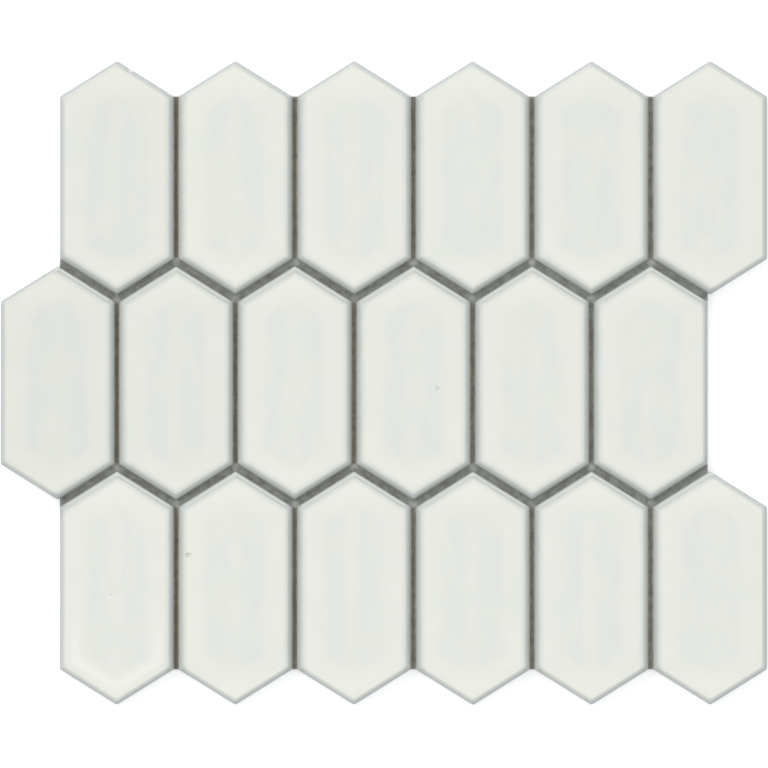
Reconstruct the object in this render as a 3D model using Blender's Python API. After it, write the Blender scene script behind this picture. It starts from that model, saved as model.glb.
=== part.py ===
"""A mosaic sheet of picket tiles: pressed and glazed long hexagons in staggered rows, with
filled joints between them, on a thin backing net. Metres, +Z out of the glazed faces, +X along
the rows. The origin is under the middle of the sheet, on the surface that it lies on."""

import math

import bmesh
import bpy
from mathutils import Matrix, Vector

# The layout of the sheet
ROWS = 3
TILES_IN_ROW = 6
SIDE_JOINT = 0.0019  # between the long sides of two tiles
END_JOINT = 0.0029  # square across the gap between two sloping ends

# One tile, measured over its widest outline
TILE_WIDTH = 0.0463
TILE_LENGTH = 0.0950  # from point to point
TILE_THICKNESS = 0.0073
END_SLOPE = math.radians(32)  # of the ends, from straight across the tile
CORNER_RADIUS = 0.0012
FACE_CORNER_RADIUS = 0.0026  # where the rounded edge has run out into the face
EDGE_REACH = 0.0025  # of the rounded edge, in over the face
EDGE_DROP = 0.0022  # of the rounded edge, down the side
SIDE_DRAFT = 0.00035  # by which the back is smaller than the widest outline, on each side
BACK_CHAMFER = 0.0004  # around the back, where the press leaves no sharp edge
FACE_CROWN = 0.0002  # by which the middle stands above the end of the rounded edge
CROWN_REACH = 0.0085  # from the widest outline to where the crown levels out

# The pressed grooves that key the back into its adhesive
KEY_COUNT = 4
KEY_WIDTH = 0.0030
KEY_DEPTH = 0.0006
KEY_SPACING = 0.0092
KEY_MARGIN = 0.0050  # from a groove's end to the edge of the back

# The grout in the joints, and the net behind everything
GROUT_RECESS = 0.0025  # from the highest point of a face down to the edge of the grout
GROUT_SAG = 0.0005  # by which the floor of a joint lies below the edges of the grout
GROUT_CREST = 0.00015  # the width of that edge, along the side of a tile
GROUT_RISE = 0.0004  # over which the grout rises from the floor of the joint to its edge
NET_THICKNESS = 0.0004
NET_MARGIN = 0.0030  # by which the net stays inside the straight sides of the tiles
CLEARANCE = 0.0003  # between a piece and what it is bonded to

# How finely the arcs are divided
CORNER_STEPS = 3
EDGE_STEPS = 4
RISE_STEPS = 2

# How far a cutter runs past what it cuts, and how near two points are to be one
OVERSHOOT = 0.0010
SAME_POINT = 0.000001

# Edges that turn by more than this stay sharp
SMOOTH_ANGLE = math.radians(38)

# Places and sizes that follow from the ones above
COLUMN_PITCH = TILE_WIDTH + SIDE_JOINT
ROW_PITCH = TILE_LENGTH - COLUMN_PITCH / 2 * math.tan(END_SLOPE) + END_JOINT / math.cos(END_SLOPE)
SHOULDER = TILE_LENGTH / 2 - TILE_WIDTH / 2 * math.tan(END_SLOPE)  # tile centre to its side's end
BACK_HEIGHT = NET_THICKNESS + CLEARANCE
FACE_HEIGHT = BACK_HEIGHT + TILE_THICKNESS
WIDEST_HEIGHT = FACE_HEIGHT - FACE_CROWN - EDGE_DROP
GROUT_HEIGHT = FACE_HEIGHT - GROUT_RECESS


def clear_scene():
    for item in list(bpy.data.objects):
        bpy.data.objects.remove(item, do_unlink=True)


def new_collection(name):
    collection = bpy.data.collections.new(name)
    bpy.context.scene.collection.children.link(collection)
    return collection


def new_material(name, colour, roughness):
    material = bpy.data.materials.new(name)
    material.use_nodes = True
    shader = material.node_tree.nodes["Principled BSDF"]
    shader.inputs["Base Color"].default_value = (*colour, 1)
    shader.inputs["Roughness"].default_value = roughness
    shader.inputs["Metallic"].default_value = 0
    return material


def mesh_object(name, form, collection, material=None):
    """The bmesh as an object, shaded smooth over its rounded edges."""
    mesh = bpy.data.meshes.new(name)
    form.to_mesh(mesh)
    form.free()
    mesh.shade_smooth()
    mesh.set_sharp_from_angle(angle=SMOOTH_ANGLE)
    if material:
        mesh.materials.append(material)
    item = bpy.data.objects.new(name, mesh)
    collection.objects.link(item)
    return item


def rounded_outline(corners, radius):
    """The counter-clockwise outline through the corners, with an arc at each."""
    points = []
    for i, corner in enumerate(corners):
        into = (corner - corners[i - 1]).normalized()
        out = (corners[(i + 1) % len(corners)] - corner).normalized()
        turn = math.acos(into.dot(out))
        start = corner - into * radius * math.tan(turn / 2)
        centre = start + Vector((-into.y, into.x)) * radius
        for step in range(CORNER_STEPS + 1):
            turned = Matrix.Rotation(turn * step / CORNER_STEPS, 2)
            points.append(centre + turned @ (start - centre))
    return points


def picket_outline(inset, radius):
    """The long hexagon whose six sides lie inset within the tile's widest outline."""
    side = TILE_WIDTH / 2 - inset
    point = TILE_LENGTH / 2 - inset / math.cos(END_SLOPE)
    shoulder = point - side * math.tan(END_SLOPE)
    corners = [(0, point), (-side, shoulder), (-side, -shoulder)]
    corners += [(0, -point), (side, -shoulder), (side, shoulder)]
    return rounded_outline([Vector(corner) for corner in corners], radius)


def loft(form, sections, centre=(0, 0)):
    """Adds a closed body to the bmesh, through outlines of equal count, lowest first."""
    rings = []
    for outline, height in sections:
        places = [(centre[0] + p.x, centre[1] + p.y, height) for p in outline]
        rings.append([form.verts.new(place) for place in places])
    for lower, upper in zip(rings, rings[1:]):
        for i in range(len(lower)):
            form.faces.new((lower[i - 1], lower[i], upper[i], upper[i - 1]))
    form.faces.new(reversed(rings[0]))
    form.faces.new(rings[-1])


def side_inset(height):
    """How far the tile's drafted side lies within its widest outline."""
    below = max(WIDEST_HEIGHT - height, 0)
    return SIDE_DRAFT * below / (WIDEST_HEIGHT - BACK_HEIGHT)


def tile_sections():
    """The pressed body from its back to its crown. The glaze rounds its edge as an ellipse,
    and the corners grow rounder on the way in."""
    chamfer_top = BACK_HEIGHT + BACK_CHAMFER
    back = picket_outline(side_inset(BACK_HEIGHT) + BACK_CHAMFER, CORNER_RADIUS)
    side = picket_outline(side_inset(chamfer_top), CORNER_RADIUS)
    sections = [(back, BACK_HEIGHT), (side, chamfer_top)]
    for step in range(EDGE_STEPS + 1):
        angle = math.pi / 2 * step / EDGE_STEPS
        inward = 1 - math.cos(angle)
        radius = CORNER_RADIUS + (FACE_CORNER_RADIUS - CORNER_RADIUS) * inward
        outline = picket_outline(EDGE_REACH * inward, radius)
        sections.append((outline, WIDEST_HEIGHT + EDGE_DROP * math.sin(angle)))
    sections.append((picket_outline(CROWN_REACH, FACE_CORNER_RADIUS), FACE_HEIGHT))
    return sections


def add_box(form, low, high):
    low, high = Vector(low), Vector(high)
    place = Matrix.Translation((low + high) / 2) @ Matrix.Diagonal((*(high - low), 1))
    bmesh.ops.create_cube(form, size=1, matrix=place)


def key_grooves():
    """The grooves in the back of a tile, side by side, each as long as the outline allows."""
    form = bmesh.new()
    for i in range(KEY_COUNT):
        middle = (i - (KEY_COUNT - 1) / 2) * KEY_SPACING
        outer = abs(middle) + KEY_WIDTH / 2
        end = TILE_LENGTH / 2 - outer * math.tan(END_SLOPE) - KEY_MARGIN / math.cos(END_SLOPE)
        low = (middle - KEY_WIDTH / 2, -end, BACK_HEIGHT - OVERSHOOT)
        add_box(form, low, (middle + KEY_WIDTH / 2, end, BACK_HEIGHT + KEY_DEPTH))
    return form


def cut(item, cutter):
    boolean = item.modifiers.new("cut", "BOOLEAN")
    boolean.operation = "DIFFERENCE"
    boolean.solver = "EXACT"
    boolean.object = cutter


def as_cutter(item):
    item.hide_render = True
    item.display_type = "WIRE"
    return item


def applied_mesh(item):
    """The object's mesh with its modifiers applied. The object itself is removed."""
    depsgraph = bpy.context.evaluated_depsgraph_get()
    mesh = bpy.data.meshes.new_from_object(item.evaluated_get(depsgraph))
    bpy.data.objects.remove(item)
    return mesh


def tile_mesh(cutters, parts, glaze):
    """One tile, which all places in the sheet share."""
    form = bmesh.new()
    loft(form, tile_sections())
    pattern = mesh_object("tile_pattern", form, parts, glaze)
    cut(pattern, as_cutter(mesh_object("back_grooves", key_grooves(), cutters)))
    mesh = applied_mesh(pattern)
    mesh.name = "picket_tile"
    return mesh


def tile_centre(row, column):
    """Rows are counted from the top. Every second row lies half a pitch to the left of its
    neighbours, so each row is moved by half of that from the middle of the sheet."""
    stagger = COLUMN_PITCH / 2
    shift = stagger / 2 if row % 2 == 0 else -stagger / 2
    x = (column - (TILES_IN_ROW - 1) / 2) * COLUMN_PITCH + shift
    return x, ((ROWS - 1) / 2 - row) * ROW_PITCH


def lay_tiles(mesh, parts, sheet):
    for row in range(ROWS):
        for column in range(TILES_IN_ROW):
            tile = bpy.data.objects.new(f"tile_row{row + 1}_{column + 1}", mesh)
            tile.location = (*tile_centre(row, column), 0)
            tile.parent = sheet
            parts.objects.link(tile)


def row_reach(row, inset):
    """Where the row's first and last tile end, at the left and right."""
    reach = TILE_WIDTH / 2 - inset
    return tile_centre(row, 0)[0] - reach, tile_centre(row, TILES_IN_ROW - 1)[0] + reach


def stepped_outline(row_inset, inset):
    """A counter-clockwise outline that steps in and out with the rows. Beside a row it lies
    row_inset within the outer sides, and between two rows it lies inset within the side of
    whichever row is shorter there. The steps are on the lines through the tiles' shoulders."""
    bands = []
    for row in reversed(range(ROWS)):
        middle = tile_centre(row, 0)[1]
        left, right = row_reach(row, row_inset)
        bands.append((left, right, middle - SHOULDER + inset, middle + SHOULDER - inset))
        if row:
            above = tile_centre(row - 1, 0)[1] - SHOULDER + inset
            left, right = zip(row_reach(row, inset), row_reach(row - 1, inset))
            bands.append((max(left), min(right), middle + SHOULDER - inset, above))
    going_up = [Vector((right, y)) for _, right, low, high in bands for y in (low, high)]
    going_down = [Vector((left, y)) for left, _, low, high in reversed(bands) for y in (high, low)]
    return going_up + going_down


def slab(name, outline, low, high, collection, material=None):
    """A flat outline as a filled curve, given its thickness and made a closed mesh."""
    curve = bpy.data.curves.new(name, "CURVE")
    curve.dimensions = "2D"
    curve.fill_mode = "BOTH"
    curve.extrude = (high - low) / 2
    spline = curve.splines.new("POLY")
    spline.points.add(len(outline) - 1)
    for point, place in zip(spline.points, outline):
        point.co = (place.x, place.y, 0, 1)
    spline.use_cyclic_u = True
    item = bpy.data.objects.new(name + "_curve", curve)
    item.location.z = (low + high) / 2
    collection.objects.link(item)
    bpy.context.view_layer.update()
    place = item.matrix_world.copy()
    form = bmesh.new()
    form.from_mesh(applied_mesh(item))
    bpy.data.curves.remove(curve)
    bmesh.ops.remove_doubles(form, verts=form.verts, dist=SAME_POINT)
    bmesh.ops.recalc_face_normals(form, faces=form.faces)
    solid = mesh_object(name, form, collection, material)
    solid.matrix_world = place
    return solid


def grown_section(growth, height):
    """The outline of a tile's drafted side at this height, grown outwards."""
    return picket_outline(side_inset(height) - growth, CORNER_RADIUS + growth), height


def at_each_tile(sections):
    form = bmesh.new()
    for row in range(ROWS):
        for column in range(TILES_IN_ROW):
            loft(form, sections, tile_centre(row, column))
    return form


def tile_spaces():
    """What the tiles take out of the grout: each tile's drafted sides, with the clearance."""
    heights = (BACK_HEIGHT - OVERSHOOT, WIDEST_HEIGHT, FACE_HEIGHT + OVERSHOOT)
    return at_each_tile([grown_section(CLEARANCE, height) for height in heights])


def risen_edges():
    """What stays standing around each tile when the joints are struck: the grout curves up
    to its edge as a quarter ellipse. The lowest section lies under the floor of the joint."""
    crest = CLEARANCE + GROUT_CREST
    sections = [grown_section(crest + GROUT_RISE, GROUT_HEIGHT - GROUT_SAG * 1.5)]
    for step in reversed(range(RISE_STEPS)):
        angle = math.pi / 2 * step / RISE_STEPS
        growth = crest + GROUT_RISE * (1 - math.cos(angle))
        sections.append(grown_section(growth, GROUT_HEIGHT - GROUT_SAG * math.sin(angle)))
    sections.append(grown_section(crest, FACE_HEIGHT + OVERSHOOT))
    return at_each_tile(sections)


def fill_joints(cutters, parts, material, sheet):
    """The grout is one slab with the tiles cut out of it. Along a row it ends inside the first
    and last tile, and it is cut off square where two rows part at the ends of the sheet. A
    trough, which leaves the risen edges standing, hollows the top of every joint."""
    reach = stepped_outline(TILE_WIDTH / 2, 0)
    grout = slab("joint_grout", reach, BACK_HEIGHT, GROUT_HEIGHT, parts, material)
    over = stepped_outline(TILE_WIDTH / 2, -OVERSHOOT)
    trough = as_cutter(slab("trough", over, GROUT_HEIGHT - GROUT_SAG, FACE_HEIGHT, cutters))
    cut(trough, as_cutter(mesh_object("risen_edges", risen_edges(), cutters)))
    cut(grout, as_cutter(mesh_object("tile_spaces", tile_spaces(), cutters)))
    cut(grout, trough)
    grout.parent = sheet


def back_with_net(parts, material, sheet):
    outline = stepped_outline(NET_MARGIN, NET_MARGIN)
    net = slab("backing_net", outline, 0, NET_THICKNESS, parts, material)
    net.parent = sheet


def main():
    clear_scene()
    parts = new_collection("picket_mosaic_sheet")
    cutters = new_collection("cutters")
    glaze = new_material("white_glaze", (0.80, 0.82, 0.76), 0.12)
    cement = new_material("grey_grout", (0.17, 0.16, 0.14), 0.9)
    fibre = new_material("glass_fibre", (0.72, 0.71, 0.65), 0.7)
    sheet = bpy.data.objects.new("sheet", None)
    parts.objects.link(sheet)
    lay_tiles(tile_mesh(cutters, parts, glaze), parts, sheet)
    fill_joints(cutters, parts, cement, sheet)
    back_with_net(parts, fibre, sheet)
    bpy.context.view_layer.update()


main()
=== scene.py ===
# %% [markdown]
# # A mosaic sheet of picket tiles
#
# Eighteen long hexagons of pressed and glazed clay lie in three staggered rows. A glass fibre
# net holds them at their spacing, and sandy cement grout fills their joints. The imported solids
# already have every size and place, so this lesson dresses them: it rebuilds each visible piece
# at the same place with the fine shape that pressing, glazing, grouting and weaving give it,
# and finishes each with a material made of nodes.
#
# Every place below is measured from them, so nothing is put down by eye.

import math
import random

import bmesh
import bpy
from mathutils import Matrix, Vector


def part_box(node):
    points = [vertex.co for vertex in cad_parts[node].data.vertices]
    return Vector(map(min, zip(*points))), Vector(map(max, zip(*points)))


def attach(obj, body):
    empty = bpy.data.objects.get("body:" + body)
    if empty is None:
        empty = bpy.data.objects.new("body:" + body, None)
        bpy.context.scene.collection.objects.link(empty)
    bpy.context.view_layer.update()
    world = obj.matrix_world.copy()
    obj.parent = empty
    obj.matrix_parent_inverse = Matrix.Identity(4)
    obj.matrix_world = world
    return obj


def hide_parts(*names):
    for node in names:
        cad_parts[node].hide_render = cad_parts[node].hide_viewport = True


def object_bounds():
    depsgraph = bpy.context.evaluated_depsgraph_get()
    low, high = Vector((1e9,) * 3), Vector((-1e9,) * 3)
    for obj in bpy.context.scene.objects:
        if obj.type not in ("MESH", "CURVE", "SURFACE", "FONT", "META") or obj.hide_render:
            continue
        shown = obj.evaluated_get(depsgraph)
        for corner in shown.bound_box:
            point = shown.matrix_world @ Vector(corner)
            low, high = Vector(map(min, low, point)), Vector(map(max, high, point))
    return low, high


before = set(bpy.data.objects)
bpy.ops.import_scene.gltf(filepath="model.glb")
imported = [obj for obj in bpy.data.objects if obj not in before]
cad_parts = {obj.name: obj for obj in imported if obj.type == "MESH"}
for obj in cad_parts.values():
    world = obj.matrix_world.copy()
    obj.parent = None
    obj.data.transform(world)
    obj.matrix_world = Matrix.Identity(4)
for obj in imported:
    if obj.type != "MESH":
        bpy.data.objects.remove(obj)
cad_low, cad_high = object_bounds()
print("The sheet measures", [round(side * 1000, 1) for side in cad_high - cad_low], "mm")

# %% [markdown]
# ## Sizes
#
# The boxes of the solids give the tile's width, the heights of the layers and the middle of
# every tile. A box doesn't tell how round an edge is, so the few sizes of the pressed shape
# are named here as a press maker would name them.

# %% Measure the tiles and name the sizes of the press
tile_names = sorted(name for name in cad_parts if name.startswith("tile_"))
first_low, first_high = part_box(tile_names[0])
TILE_WIDTH = first_high.x - first_low.x
BACK_HEIGHT, FACE_HEIGHT = first_low.z, first_high.z
GROUT_LOW, GROUT_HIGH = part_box("joint_grout")
NET_LOW, NET_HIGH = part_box("backing_net")

centres = {}
for name in tile_names:
    low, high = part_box(name)
    centres[name] = ((low + high) / 2).xy
COLUMN_PITCH = centres["tile_row1_2"].x - centres["tile_row1_1"].x
ROW_PITCH = centres["tile_row1_1"].y - centres["tile_row2_1"].y

TILE_LENGTH = 0.0950  # from point to point, before the points are rounded
END_SLOPE = math.radians(32)
CORNER_RADIUS = 0.0012
FACE_CORNER_RADIUS = 0.0026
EDGE_REACH = 0.0025  # of the rounded edge, in over the face
EDGE_DROP = 0.0022  # of the rounded edge, down the side
SIDE_DRAFT = 0.00035
BACK_CHAMFER = 0.0004
FACE_CROWN = 0.0002
CROWN_REACH = 0.0085
WIDEST_HEIGHT = FACE_HEIGHT - FACE_CROWN - EDGE_DROP
print(len(tile_names), "tiles", round(TILE_WIDTH * 1000, 2), "mm wide, with pitches of",
      round(COLUMN_PITCH * 1000, 2), "and", round(ROW_PITCH * 1000, 2), "mm")

# %% [markdown]
# ## The camera
#
# The sheet was photographed from straight above, from far away: all its joints are upright and
# none of its outer sides shows. A very long lens from a long way up does the same. One pixel
# pitch, measured between tiles in the photograph, then sets how high the camera stands.

# %% Hang the camera
PHOTO_SIDE = 768  # pixels
PIXELS_PER_METRE = 2463  # at the glazed faces
SHEET_PIXEL = Vector((383.8, 383.0))  # where the photograph shows the middle of the sheet
LENS = 400  # millimetres, as is the sensor
SENSOR = 36
FARTHEST = 50  # metres that the camera sees


def put_in_scene(name, data):
    """A new object with this mesh, light or camera."""
    item = bpy.data.objects.new(name, data)
    bpy.context.scene.collection.objects.link(item)
    return item


camera = put_in_scene("camera", bpy.data.cameras.new("camera"))
camera.data.lens = LENS
camera.data.sensor_width = SENSOR
camera.data.clip_end = FARTHEST
camera_height = FACE_HEIGHT + PHOTO_SIDE / PIXELS_PER_METRE * LENS / SENSOR
aside = (PHOTO_SIDE / 2 - SHEET_PIXEL.x) / PIXELS_PER_METRE
down = (PHOTO_SIDE / 2 - SHEET_PIXEL.y) / PIXELS_PER_METRE
camera.location = (aside, -down, camera_height)
bpy.context.scene.camera = camera
bpy.context.scene.view_settings.view_transform = "Standard"
print("The camera hangs", round(camera_height, 2), "m above the sheet")

# %% [markdown]
# ## Helpers for node trees
#
# Both the finishes and the repeated shapes are trees of nodes. Some short helpers keep them
# readable. A value given to a socket is either a plain number or colour, or the output of
# another node, and then it becomes a link.

# %% Make the node helpers
def add_node(tree, kind, values=None, **settings):
    """A new node with these settings. Its sockets, by name or number, get values or links."""
    node = tree.nodes.new(kind)
    for name, value in settings.items():
        setattr(node, name, value)
    for socket, value in (values or {}).items():
        if isinstance(value, bpy.types.NodeSocket):
            tree.links.new(value, node.inputs[socket])
        else:
            node.inputs[socket].default_value = value
    return node


def maths(tree, operation, *values):
    return add_node(tree, "ShaderNodeMath", dict(enumerate(values)), operation=operation).outputs[0]


def times(tree, first, *others):
    """The product of all the values."""
    for other in others:
        first = maths(tree, "MULTIPLY", first, other)
    return first


def without(tree, share):
    """What is left of 1 when the share is taken away."""
    return maths(tree, "SUBTRACT", 1, share)


def between(tree, share, low, high):
    """What lies at this share of the way from low to high."""
    return maths(tree, "MULTIPLY_ADD", share, high - low, low)


def vector_maths(tree, operation, first, second, output="Vector"):
    node = add_node(tree, "ShaderNodeVectorMath", {0: first, 1: second}, operation=operation)
    return node.outputs[output]


def combine(tree, values):
    return add_node(tree, "ShaderNodeCombineXYZ", values).outputs[0]


def part_of(tree, vector, axis):
    return add_node(tree, "ShaderNodeSeparateXYZ", {0: vector}).outputs[axis]


def rise(tree, value, start, end):
    """0 where the value is below start, 1 past end, and a smooth slope between them."""
    values = {"Value": value, "From Min": start, "From Max": end}
    node = add_node(tree, "ShaderNodeMapRange", values, interpolation_type="SMOOTHSTEP")
    return node.outputs["Result"]


def fall(tree, value, start, end):
    """1 where the value is below start, 0 past end: Map Range takes its limits in either order."""
    return rise(tree, value, end, start)


def blend_colours(tree, share, first, second):
    node = add_node(tree, "ShaderNodeMix", {0: share, 6: first, 7: second}, data_type="RGBA")
    return node.outputs[2]


def lay_over(tree, colour, *coats):
    """The colour under coats that each have a share and a colour, the last one on top."""
    for share, coat in coats:
        colour = blend_colours(tree, share, colour, coat)
    return colour


def new_tree(name, kind, inputs, outputs):
    """A node tree with named sockets, its inputs' outlets and its output node."""
    tree = bpy.data.node_groups.new(name, kind)
    for socket, form in inputs.items():
        tree.interface.new_socket(socket, in_out="INPUT", socket_type="NodeSocket" + form)
    for socket, form in outputs.items():
        tree.interface.new_socket(socket, in_out="OUTPUT", socket_type="NodeSocket" + form)
    return tree, tree.nodes.new("NodeGroupInput").outputs, tree.nodes.new("NodeGroupOutput")


def place_group(tree, group, values):
    return add_node(tree, "ShaderNodeGroup", values, node_tree=group).outputs


def noise_field(tree, patch_size, values, **settings):
    """Noise from 0 to 1 in patches of about this size."""
    scale = maths(tree, "DIVIDE", 1, patch_size)
    return add_node(tree, "ShaderNodeTexNoise", {"Scale": scale, **values}, **settings).outputs[0]


def attribute(tree, name, output="Fac"):
    return add_node(tree, "ShaderNodeAttribute", attribute_name=name).outputs[output]


def start_material(name, **constants):
    """A material, its tree and its shader's sockets, with what is the same all over set."""
    material = bpy.data.materials.new(name)
    material.use_nodes = True
    tree = material.node_tree
    shader = tree.nodes["Principled BSDF"].inputs
    for socket, value in constants.items():
        shader[socket.replace("_", " ")].default_value = value
    return material, tree, shader


print("The helpers are ready")

# %% [markdown]
# ## Floor and daylight
#
# The sheet lies on a white table in a bright room with bluish walls. A large soft light overhead
# mirrors as an even veil in the flat glaze. A second, towards the top left of the picture, models
# the rounded edges, and a low window beyond the top shines along the faces, so that it mirrors
# only in the edges that lean towards it.
#
# The table shows white to the camera and in reflections, through the Light Path node, so the
# lamps don't have to overexpose it. It still takes the shadow of the sheet.

# %% Lay the floor and hang the lights
FLOOR_SIDE = 14  # metres
TABLE_PAINT = (0.9, 0.9, 0.9, 1)
FLOOR_GLOW = 0.4  # of the table, for the camera and for reflections only
SURROUND_LIGHT = (0.48, 0.50, 0.52)


def seen_or_mirrored(tree):
    """1 for a ray that comes from the camera, from a glossy surface or through glass."""
    path = add_node(tree, "ShaderNodeLightPath").outputs
    seen = maths(tree, "MAXIMUM", path["Is Camera Ray"], path["Is Glossy Ray"])
    return maths(tree, "MAXIMUM", seen, path["Is Transmission Ray"])


def put_down(form, name):
    """A new object with this form as its mesh."""
    mesh = bpy.data.meshes.new(name)
    form.to_mesh(mesh)
    form.free()
    return put_in_scene(name, mesh)


def lay_floor():
    form = bmesh.new()
    bmesh.ops.create_grid(form, x_segments=1, y_segments=1, size=FLOOR_SIDE / 2)
    floor = put_down(form, "floor")
    floor.location.z = cad_low.z
    paint, tree, shader = start_material("white_table", Base_Color=TABLE_PAINT, Roughness=1,
                                         Specular_IOR_Level=0, Emission_Strength=FLOOR_GLOW)
    tree.links.new(seen_or_mirrored(tree), shader["Emission Color"])
    floor.data.materials.append(paint)


def light_surround():
    world = bpy.data.worlds.new("surround")
    world.use_nodes = True
    tree = world.node_tree
    colour = blend_colours(tree, seen_or_mirrored(tree), (*SURROUND_LIGHT, 1), (1, 1, 1, 1))
    tree.links.new(colour, tree.nodes["Background"].inputs["Color"])
    bpy.context.scene.world = world


def hang_softbox(name, place, width, depth, radiance):
    """A flat light that faces the sheet. Cycles makes it as bright as power / (4 area)."""
    light = bpy.data.lights.new(name, "AREA")
    light.shape = "RECTANGLE"
    light.size, light.size_y = width, depth
    light.energy = 4 * radiance * width * depth
    lamp = put_in_scene(name, light)
    lamp.location = place
    lamp.rotation_euler = (-Vector(place)).to_track_quat("-Z", "Y").to_euler()
    lamp.visible_camera = False


lay_floor()
light_surround()
hang_softbox("overhead_softbox", place=(0.2, -0.3, 3.9), width=2.6, depth=2.6, radiance=1.3)
hang_softbox("far_softbox", place=(-2.9, 2.7, 3.9), width=5.1, depth=3.4, radiance=1.5)
hang_softbox("low_window", place=(0, 5.5, 1.6), width=11.0, depth=2.0, radiance=0.65)
print("The table is", FLOOR_SIDE, "m wide under", len(bpy.data.lights), "soft lights")

# %% [markdown]
# ## Effects that are used again
#
# Three effects are placed more than once. Fired glaze, damp grout and glue are never quite even:
# their colour drifts in soft patches. Grout and clay are sandy. And where tile and grout meet,
# painted shade greys the glaze: a broad even band and a narrow broken line. Each is a group that is
# built once and placed in the materials, each time with other values. Noise in three dimensions
# needs no unwrapping, and it is even on sides, tops and backs alike.

# %% Build the shared effects
NOISE_SPAN = (0.25, 0.75)  # most of the values that noise takes
GRAIN_BULGE = 0.4  # of the size of a grain


def build_mottle():
    """Soft patches, from 0 to 1. Another seed gives other patches of the same size."""
    sockets = {"Position": "Vector", "Patch size": "Float", "Seed": "Float"}
    tree, given, made = new_tree("soft_mottle", "ShaderNodeTree", sockets, {"Mottle": "Float"})
    values = {"Vector": given["Position"], "W": given["Seed"], "Detail": 3, "Roughness": 0.5}
    field = noise_field(tree, given["Patch size"], values, noise_dimensions="4D")
    tree.links.new(rise(tree, field, *NOISE_SPAN), made.inputs["Mottle"])
    return tree


def mottled(tree, place, patch_size, seed=0):
    values = {"Position": place, "Patch size": patch_size, "Seed": seed}
    return place_group(tree, mottle, values)["Mottle"]


def build_sand():
    """Packed grains: how light each one is, from 0 to 1, and how high it stands, in metres."""
    sockets = {"Position": "Vector", "Grain size": "Float"}
    results = {"Lightness": "Float", "Height": "Float"}
    tree, given, made = new_tree("packed_sand", "ShaderNodeTree", sockets, results)
    scale = maths(tree, "DIVIDE", 1, given["Grain size"])
    cells = add_node(tree, "ShaderNodeTexVoronoi", {"Vector": given["Position"], "Scale": scale})
    split = add_node(tree, "ShaderNodeSeparateColor", {0: cells.outputs["Color"]})
    tree.links.new(split.outputs[0], made.inputs["Lightness"])
    height = times(tree, without(tree, cells.outputs["Distance"]), given["Grain size"],
                   GRAIN_BULGE)
    tree.links.new(height, made.inputs["Height"])
    return tree


def build_joint_shade():
    """Painted shade that is full up to a first distance and gone at its reach, and broken into
    patches.
    """
    sockets = {"Position": "Vector", "Distance": "Float", "Full": "Float", "Reach": "Float",
               "Patch size": "Float", "Patchiness": "Float"}
    tree, given, made = new_tree("painted_joint_shade", "ShaderNodeTree", sockets, {"Shade": "Float"})
    near = fall(tree, given["Distance"], given["Full"], given["Reach"])
    patches = mottled(tree, given["Position"], given["Patch size"])
    gaps = times(tree, without(tree, patches), given["Patchiness"])
    tree.links.new(times(tree, near, without(tree, gaps)), made.inputs["Shade"])
    return tree


mottle = build_mottle()
sand = build_sand()
joint_shade = build_joint_shade()
print("Shared effects:", [group.name for group in (mottle, sand, joint_shade)])

# %% [markdown]
# ## The glaze
#
# The face is a glossy white glaze, a little warm near its rim, warmer still at its two points, and
# a little cooler and greener in a panel in the middle. The panel is streaky along the tile, and a
# lighter ridge parts it. No two tiles leave the kiln with the same white. The glaze runs thin over
# the rounded edge, and there it is painted greyer with the shade that the edge takes. It ends
# partway down the side in a wavy line, and bare biscuit clay shows below it and on the back.
# Fresnel in the shader makes the gloss. A pale line along the upper rims is a painted highlight,
# and a cream band near the lower end of the tiles, strongest on one, is a painted reflection.
#
# Attributes on the mesh tell the material where it is: how far in from the widest outline, where on
# its own tile, and how far from the grout. Others tell one tile from the next, and where a tile is
# chipped or scuffed: one tile has a white chip on a rim, two have small grey scuffs, and on a third
# a grey spot is painted shade, the shaded side of a small bump under the glaze.

# %% Make the glaze and the clay under it
GLAZE_WHITE = (0.789, 0.799, 0.724, 1)
GLAZE_CREAM = (0.824, 0.813, 0.727, 1)
GLAZE_COOL = (0.761, 0.767, 0.703, 1)
GLAZE_POINT = (0.838, 0.836, 0.741, 1)
# A painted cream reflection, in a band near the lower end of a tile.
GLAZE_GLEAM = (0.870, 0.866, 0.769, 1)
# The thin glaze over the rounded edge, painted greyer with the shade of the edge.
GLAZE_THIN_AND_SHADED = (0.545, 0.570, 0.555, 1)
SLIP_WHITE = (0.77, 0.80, 0.82, 1)  # under the glaze, where it has chipped off
# Grey of the scuffs, and of one spot painted as the shade of a small bump under the glaze.
SCUFF_AND_SHADE_GREY = (0.42, 0.44, 0.42, 1)
CLAY_LIGHT = (0.74, 0.70, 0.62, 1)
CLAY_DARK = (0.60, 0.55, 0.47, 1)
JOINT_SHADE_GREY = (0.425, 0.456, 0.428, 1)
EDGE_LINE_PALE = (0.66, 0.64, 0.56, 1)
# A pale painted highlight along the rims of the upper ends.
RIM_HIGHLIGHT_WHITE = (0.84, 0.845, 0.80, 1)

# Between the two distances of a pair, an effect comes in or fades out. They are measured in from
# the widest outline of the tile, or from its middle where the name says along or across.
THIN_AND_SHADED_EDGE = (0, 0.0027)
CLOUD_SIZE = 0.013
PANEL_EDGE = (0.0085, 0.0133)
STREAK_SIZE = 0.006
STREAK_SQUEEZE = (1, 0.4, 1)  # of the pattern, which draws the streaks out along the tile
STREAK_SHARES = (0.35, 1.15)  # of the panel's tone, at least and at most
RIDGE_PLACE = -0.0006  # across the tile
RIDGE_WIDTH = (0.0008, 0.0046)  # to either side of its place
RIDGE_SHARES = (0.10, 0.70)  # of the panel's tone, that the ridge of a tile takes away
POINT_ALONG = (0.030, 0.042)
GLEAM_OUTER = (0.0036, 0.0056)
GLEAM_INNER = (0.0064, 0.0100)
GLEAM_ALONG = (-0.034, -0.004)
SHEET_GREYING = 0.057  # of the glaze's lightness, where a tile is greyest

# Painted shade on the glaze beside the grout, as an even band and as a narrow broken line.
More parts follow.
